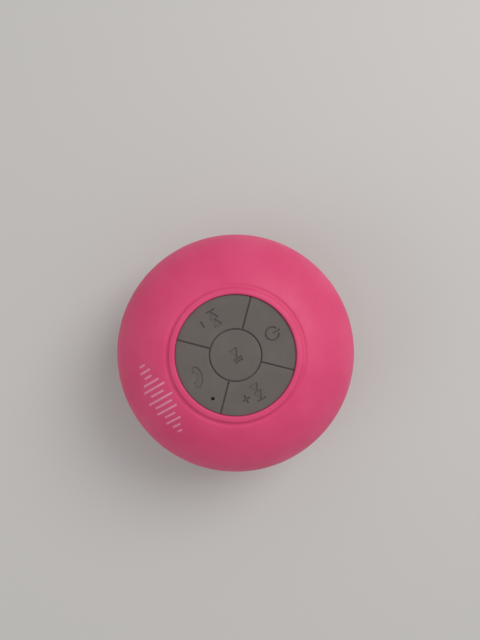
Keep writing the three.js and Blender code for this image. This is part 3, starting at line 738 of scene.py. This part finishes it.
def slot_cutter(direction):
    """A slot with round ends and a small chamfer at the neck's outer face."""
    outer = NECK_RADIUS - 0.45
    lean = math.atan2(1.0, 4.8)
    depths = [(-4, 0), (-0.28, 0), (0.02, 0.3), (2, 0.3)]
    outline = rounded_rectangle(-SLOT_WIDTH / 2, SLOT_WIDTH / 2, SLOT_LOW, SLOT_HIGH, 1.3, 6)
    middle = (SLOT_LOW + SLOT_HIGH) / 2
    points = []
    for depth, grow in depths:
        for u, v in inset(outline, -grow):
            radial = outer + depth + (v - middle) * math.tan(lean) * 0.9
            points.append((radial * math.cos(direction) - u * math.sin(direction),
                           radial * math.sin(direction) + u * math.cos(direction), v))
    return make_mesh("slot", points, tube_faces(len(outline), len(depths)))


def rear_shell():
    """The neck, its flare under the skin's edge and its floor, with the port, slots, bosses and posts."""
    base = rear_low.z
    foot = NECK_RADIUS - 1
    neck = [
        (0, 19.8), (9, 19.8), (9, 15.6), (11.5, 15.6), (11.5, base + 0.3), (11.8, base),
        (18.7, base), (18.85, base + 0.3), (19.15, base + 0.3), (19.3, base),
        *arc((foot - 1.4, base + 1.4), 1.4, 1.4, -90, 0, 8),
        *arc((TUCK_RADIUS, 20.2), TUCK_RADIUS - NECK_RADIUS, 5.2, 180, 94, 24),
        (38.75, 25.45), (38.9, 25.6), (38.9, 27.5), (37.6, 27.5), (37.6, 29.1), (38.9, 29.1),
        (38.9, 30.4), (36.9, 30.4), (36.9, 27.6), (31, 25.9), (27.15, 24.7), (27.15, 22.4),
        (25.8, 22.4), (25.8, 16), (13.2, 16), (13.2, 21.6), (0, 21.6),
    ]
    shell = lathe("rear_casing", neck, 256)
    pad_outline = rounded_rectangle(-10.8, 8.6, 14.6, 21.2, 1.5)
    pad = slab("pad", pad_outline, FLAP_FACE - 0.1, -25.2, 0.35)
    combine(shell, pad, "UNION")
    bosses = [rod("boss", place, BOSS_RADIUS, 25.3, 27.95, 40) for place in SCREW_PLACES]
    posts = [rod("post", place, BAFFLE_POST_RADIUS, 15.5, 22.4) for place in POST_PLACES]
    combine(shell, merged([*bosses, *posts], "bosses"), "UNION")
    port_recess = rounded_rectangle(-10.2, 6.9, PORT_Z - 2.5, PORT_Z + 2.5, 1.2)
    recesses = [slab("recess", port_recess, FLAP_FACE - 2, FLAP_BACK + 0.1, 0.05)]
    recesses += [rod("counterbore", place, COUNTERBORE_RADIUS, 20, 26.4, 40) for place in SCREW_PLACES]
    for i in range(SLOT_COUNT):
        degrees = 360 * i / SLOT_COUNT
        if abs(degrees - 270) >= 26:
            recesses.append(slot_cutter(math.radians(degrees)))
    peg_hole = ring_points((PEG_X, PORT_Z), PEG_RADIUS + 0.1, 24)
    holes = [slab("hole", rounded_rectangle(*PORT_HOLE, 0.8), FLAP_BACK - 1, -24, 0.05),
             slab("peg_hole", peg_hole, FLAP_BACK - 0.5, FLAP_BACK + 1.6, 0.05)]
    holes += [rod("screw_hole", place, SCREW_HOLE_RADIUS, 26, 29) for place in SCREW_PLACES]
    holes += [rod("pilot", place, PILOT_RADIUS, 17, 23) for place in POST_PLACES]
    # Two cuts, because bodies that overlap within one cutter would leave their overlap standing.
    combine(shell, merged(recesses, "recesses"), "DIFFERENCE", 30)
    return combine(shell, merged(holes, "holes"), "DIFFERENCE", 30)


def grille_cloth():
    """The band of cloth behind the slots, which stops on each side of the port."""
    inner, outer, low, high = 25.2, 25.6, 16.3, 22.2
    half_gap = 10
    gap = math.degrees(math.asin(half_gap / ((inner + outer) / 2)))
    outline = [(inner, low), (outer, low), (outer, high), (inner, high)]
    return lathe("grille_cloth", outline, 200, start=-90 + gap, stop=270 - gap)


def case_screw(name, place):
    """A pan-head screw with a cross recess, its head facing down in its counterbore."""
    centre = Vector((*place, 0))
    low, high = box_mm("case_screw_1")
    seat = low.z + 1.2
    thread = 1.05
    outline = [(0, low.z), (1.3, low.z), *arc((1.5, low.z + 0.7), 0.7, 0.7, -80, 0, 5), (2.2, seat),
               (thread, seat), (thread, high.z), (0, high.z)]
    screw = lathe(name, outline, 48)
    for turn in (0.35, 0.35 + math.pi / 2):
        points = []
        for z, long, wide in ((low.z - 0.3, 1.35, 0.3), (low.z + 0.65, 0.55, 0.16)):
            for u, v in ((-long, -wide), (long, -wide), (long, wide), (-long, wide)):
                points.append((u * math.cos(turn) - v * math.sin(turn),
                               u * math.sin(turn) + v * math.cos(turn), z))
        combine(screw, make_mesh("blade", points, tube_faces(4, 2)), "DIFFERENCE")
    screw.data.transform(Matrix.Translation(centre * MM))
    return screw


# ---- Charging port ----

FOLD_X = (tether_high.x + flap_low.x) / 2


def port_flap():
    """The flap that closes the port, with the nub that plugs it and a nick for a finger nail."""
    half = 2.25
    outline = rounded_rectangle(flap_low.x, flap_high.x, PORT_Z - half, PORT_Z + half, 1)
    plate = slab("flap", outline, FLAP_FACE, FLAP_BACK, 0.22)
    nub = slab("nub", rounded_rectangle(-3.2, 3.2, 17, 19.3, 0.8), FLAP_BACK - 0.3, FLAP_BACK + 1.3, 0.25)
    nick = slab("nick", rounded_rectangle(5.1, 6.3, PORT_Z - 1.5, PORT_Z + 1.5, 0.5), FLAP_FACE - 0.8,
                FLAP_FACE + 0.5, 0.3)
    combine(plate, nub, "UNION")
    combine(plate, nick, "UNION")
    plate.name = "port_cover"
    return plate


def flap_tether():
    """The fixed tab beside the flap, held in the casing by its peg."""
    outline = rounded_rectangle(tether_low.x, tether_high.x, tether_low.z, tether_high.z, 0.6)
    plate = slab("tether_tab", outline, FLAP_FACE, FLAP_BACK, 0.2)
    peg_outline = ring_points((PEG_X, PORT_Z), PEG_RADIUS, 24)
    peg = slab("peg", peg_outline, FLAP_BACK - 0.3, FLAP_BACK + 1.4, 0.2)
    return combine(plate, peg, "UNION")


def flap_strap():
    """The thin strip that bends between the tether and the flap."""
    half, thick = 1.35, 0.42
    xs = np.linspace(FOLD_X - 0.5, FOLD_X + 0.5, 17)
    section = rounded_rectangle(PORT_Z - half, PORT_Z + half, FLAP_FACE, FLAP_FACE + thick, 0.12, 3)
    points = [(x, depth, z) for x in xs for z, depth in section]
    return make_mesh("flap_strap", points, tube_faces(len(section), len(xs)))


def charge_socket():
    """The socket's steel shell, open towards the port."""
    low, high = socket_low, socket_high
    shell = slab("socket_shell", rounded_rectangle(low.x, high.x, low.z, high.z, 0.9), low.y, high.y, 0.1)
    wall = 0.3
    hollow = rounded_rectangle(low.x + wall, high.x - wall, low.z + wall, high.z - wall, 0.65)
    mouth = slab("mouth", hollow, low.y - 1, high.y - 1, 0.05)
    return combine(shell, mouth, "DIFFERENCE")


def socket_tongue():
    """The black bar in the socket, with its row of contacts standing a little proud."""
    low, high = socket_low, socket_high
    bar = slab("bar", rounded_rectangle(-1.9, 1.9, 17.95, 18.5, 0.15), low.y + 0.9, high.y - 0.4, 0.1)
    contacts = []
    for x in np.linspace(-1.3, 1.3, 5):
        outline = rounded_rectangle(x - 0.17, x + 0.17, 17.86, 18.1, 0.04, 2)
        contacts.append(slab("contact", outline, low.y + 1.2, high.y - 0.6, 0.03))
    return merged([bar, *contacts], "socket_tongue")


# ---- Speaker surround ----

SURROUND_ARCS = 12  # a blend runs straight across a joint, so the ring is a row of short arcs
ARC_DEGREES = 360 / SURROUND_ARCS
ROLL_RADIUS = roll_high.z - roll_low.z
ROLL_MIDDLE = roll_high.x - ROLL_RADIUS  # distance of the roll's middle line from the axis
RUBBER = 0.35  # thickness of the roll
LANDING = 0.25  # thickness of the two edges that are glued on


def surround_arc(number):
    """A stretch of the rubber roll, with one edge on the basket's ledge and the other under the cone."""
    level = roll_high.z
    centre = (ROLL_MIDDLE, level)
    inside = ROLL_RADIUS - RUBBER
    ledge_edge, glue = roll_high.x + 0.8, level + 0.03
    ledge = [(ledge_edge, glue + LANDING), (ledge_edge, glue), (roll_high.x + 0.1, glue)]
    cone_edge = ROLL_MIDDLE - ROLL_RADIUS - 0.08
    under_cone = [(cone_edge - 0.52, level + 0.27 - LANDING), (cone_edge - 0.52, level + 0.27),
                  (cone_edge, level - 0.04)]
    outline = [
        *ledge, *arc(centre, ROLL_RADIUS, ROLL_RADIUS, 0, -165, 14),
        *under_cone, *arc(centre, inside, inside, -170, 0, 12),
        (roll_high.x - RUBBER + 0.1, glue + LANDING),
    ]
    start = number * ARC_DEGREES
    return lathe(f"surround_arc_{number + 1}", outline, 8, 35, start, start + ARC_DEGREES)


# ---- Cup and swivel ----


def suction_cup():
    """The cup with its hollow, its thin rim, the collar's seat and plug, and the ridged pull tab."""
    rim, plug, top = 32.4, 5.0, cup_high.z
    hollow = [(0, 6.2), (8, 6), (15, 5.1), (22, 3.3), (27.4, 1.35), (29.7, 0.45), (30.4, 0.02)]
    back = [(31.6, 1.3), (30.2, 2.1), (26, 3.9), (20, 6.15), (14, 8.4), (10.4, 10.05), (9, 10.9),
            (8.6, 11.6)]
    outline = [
        *curve(hollow, 5), (rim - 0.1, 0), *arc((rim - 0.05, 0.3), 0.27, 0.3, -80, 80, 5),
        *curve(back, 5), (8.6, 12.1), (8.9, 12.45), (9.3, 12.7), (9.4, 12.95), (9.4, 13.3), (9.2, 13.5),
        (plug + 0.2, 13.5), (plug, 13.7), (plug, top - 0.6), (plug - 0.15, top - 0.2), (plug - 0.6, top),
        (0, top),
    ]
    cup = lathe("wall_cup", outline, 192, 45)
    tab_end = cup_high.x
    tab = slab("tab", rounded_rectangle(tab_end - 8, tab_end, -5, 5, 3.6, 10), 0, 1.3, 0.4, plane="XY")
    combine(cup, tab, "UNION", 45)
    for i in range(3):
        x, half = tab_end - 3.6 + i, 2.6 - 0.35 * i
        ridge_outline = rounded_rectangle(x - 0.25, x + 0.25, -half, half, 0.24, 4)
        ridge = slab("ridge", ridge_outline, 0.9, 1.55, 0.2, plane="XY")
        combine(cup, ridge, "UNION", 45)
    return cup


def swivel_collar():
    bore, neck, flange = 5.2, 7.2, 8.8
    corners = [(bore, 14.3), (neck, 14.3), (neck, 15.75), (flange, 15.75), (flange, 19.5), (bore, 19.5)]
    return lathe("swivel_ring", rounded(corners, 0.3, 3), 96)


def collar_retainer():
    corners = [(7.4, 14.1), (11.3, 14.1), (11.3, 15.5), (7.4, 15.5)]
    return lathe("retaining_ring", rounded(corners, 0.3, 3), 96)


# ---- Assembly ----


def dress(piece, body, material, replaced=()):
    piece.data.materials.clear()
    piece.data.materials.append(material)
    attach(piece, body)
    if replaced:
        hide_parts(*replaced)
    return piece


def bend(piece, material):
    """Dresses a piece that bends between the housing and another body."""
    piece.data.materials.append(material)
    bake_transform(piece)
    return piece


def paint_frame_nodes(looks):
    """Each CAD node that stays gets its slot's material."""
    slots = {s["node"]: s["material_slot"] for s in frame["record"]["subparts"]}
    for name, node in frame["nodes"].items():
        node.data.materials.clear()
        node.data.materials.append(looks[slots[name]])


def make_looks():
    """A material for each of the record's slots."""
    return {
        "dome_silicone": dome_silicone(),
        "key_silicone": key_silicone(),
        "rear_plastic": rear_plastic(),
        "cup_vinyl": cup_vinyl(),
        "white_plastic": moulded("white_plastic", srgb(226, 224, 219)),
        "black_plastic": moulded("black_plastic", srgb(30, 30, 32)),
        "circuit_board": circuit_board(),
        "steel": plated_steel(),
        "ferrite": moulded("ferrite", srgb(42, 42, 45), 0.6),
        "copper": copper_wire(),
        "paper": woven_cloth("coated_paper", srgb(34, 34, 36), 0.5),
        "mesh_fabric": woven_cloth("grille_weave", srgb(66, 66, 70), 0.45),
        "foil": foil_pouch(),
        "wire_red": moulded("wire_red", srgb(178, 34, 30)),
        "wire_black": moulded("wire_black", srgb(24, 24, 26)),
    }


def build_object():
    looks = make_looks()
    silicone, grey = looks["dome_silicone"], looks["key_silicone"]
    steel, white = looks["steel"], looks["white_plastic"]
    paint_frame_nodes(looks)

    dress(front_skin(), "housing", silicone, ["front_skin"])
    dress(dome_mark(), "housing", mark_print())
    icons = {"power": (90, power_icon), "previous": (180, lambda x, y: skip_icon(x, y, -1)),
             "phone": (270, phone_icon), "next": (0, lambda x, y: skip_icon(x, y, 1))}
    for name, (degrees, icon) in icons.items():
        key = sector_key(f"keycap_{name}", degrees, icon)
        dress(key, f"{name}_key", grey, [f"key_{name}"])
    dress(play_key("keycap_play"), "play_key", grey, ["key_play"])
    dress(keypad_web(), "housing", grey, ["keypad_web"])

    dress(rear_shell(), "housing", looks["rear_plastic"], ["rear_shell"])
    dress(grille_cloth(), "housing", looks["mesh_fabric"], ["grille_mesh"])
    for i, place in enumerate(SCREW_PLACES, 1):
        dress(case_screw(f"rear_screw_{i}", place), "housing", steel, [f"case_screw_{i}"])
    dress(charge_socket(), "housing", steel, ["charge_socket"])
    dress(socket_tongue(), "housing", looks["black_plastic"])
    dress(port_flap(), "port_flap", silicone, ["port_flap"])
    dress(flap_tether(), "housing", silicone, ["flap_tether"])
    bend(flap_strap(), silicone)
    for number in range(SURROUND_ARCS):
        roll = bend(surround_arc(number), looks["black_plastic"])
        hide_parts("speaker_surround")

    dress(suction_cup(), "suction_cup", looks["cup_vinyl"], ["suction_cup"])
    dress(swivel_collar(), "swivel_collar", white, ["swivel_collar"])
    dress(collar_retainer(), "housing", white, ["collar_retainer"])


# ---- Surroundings ----

IMAGE_UP = Vector((-math.sin(math.radians(59.5)), math.cos(math.radians(59.5)), 0))
IMAGE_RIGHT = Vector((IMAGE_UP.y, -IMAGE_UP.x, 0))


def add_camera():
    """Above the dome and close to it, a little up from its axis, as the object was seen."""
    above, lens, film = 200, 30.65, 36
    place = IMAGE_RIGHT * 0.5 + IMAGE_UP * 8 + Vector((0, 0, RIM_Z + above))
    aim = IMAGE_RIGHT * 1.55 + IMAGE_UP * 11.8 + Vector((0, 0, RIM_Z))
    back = (place - aim).normalized()
    up = (IMAGE_UP - back * IMAGE_UP.dot(back)).normalized()
    turn = Matrix((up.cross(back), up, back)).transposed()
    data = bpy.data.cameras.new("camera")
    data.lens, data.sensor_width = lens, film
    data.clip_start, data.clip_end = 0.005, 20
    camera = bpy.data.objects.new("camera", data)
    camera.matrix_world = Matrix.Translation(place * MM) @ turn.to_4x4()
    bpy.context.scene.collection.objects.link(camera)
    bpy.context.scene.camera = camera


def add_light(name, place, aim, size, watts, color=(1, 1, 1)):
    data = bpy.data.lights.new(name, "AREA")
    data.shape, data.size, data.energy, data.color = "DISK", size, watts, color
    light = bpy.data.objects.new(name, data)
    light.location = place
    light.rotation_mode = "QUATERNION"
    light.rotation_quaternion = (Vector(aim) - Vector(place)).to_track_quat("-Z", "Y")
    bpy.context.scene.collection.objects.link(light)


def add_surroundings():
    world = bpy.data.worlds.new("studio")
    world.use_nodes = True
    background = world.node_tree.nodes["Background"]
    background.inputs["Color"].default_value = (1.0, 0.985, 0.97, 1)
    bright_side = (IMAGE_RIGHT * 0.4 + IMAGE_UP * 0.25 + Vector((0, 0, 0.87))).normalized()
    place = world.node_tree.nodes.new("ShaderNodeTexCoord")
    towards = world.node_tree.nodes.new("ShaderNodeVectorMath")
    towards.operation = "DOT_PRODUCT"
    towards.inputs[1].default_value = bright_side
    strength = world.node_tree.nodes.new("ShaderNodeMapRange")
    for name, value in {"From Min": -0.5, "From Max": 1, "To Min": 0.2, "To Max": 0.6}.items():
        strength.inputs[name].default_value = value
    world.node_tree.links.new(place.outputs["Generated"], towards.inputs[0])
    world.node_tree.links.new(towards.outputs["Value"], strength.inputs["Value"])
    world.node_tree.links.new(strength.outputs[0], background.inputs["Strength"])
    bpy.context.scene.world = world
    key = IMAGE_RIGHT * 0.42 + IMAGE_UP * 0.34 + Vector((0, 0, 0.62))
    add_light("key_light", key, (0, 0, 0.03), 0.5, 2.8, (1, 0.98, 0.95))
    fill = IMAGE_RIGHT * -0.7 + IMAGE_UP * -0.3 + Vector((0, 0, 0.5))
    add_light("fill_light", fill, (0, 0, 0.03), 0.6, 1.0, (0.96, 0.98, 1))

    side = 3000
    corners = [(-side, -side), (side, -side), (side, side), (-side, side)]
    floor = make_mesh("floor", [(x, y, cup_low.z) for x, y in corners], [(0, 1, 2, 3)])
    look = Look("floor_paint", (0.62, 0.61, 0.6), 0.7)
    floor.data.materials.append(look.material)
    bpy.context.scene.view_settings.view_transform = "Standard"


add_camera()
build_object()
add_surroundings()
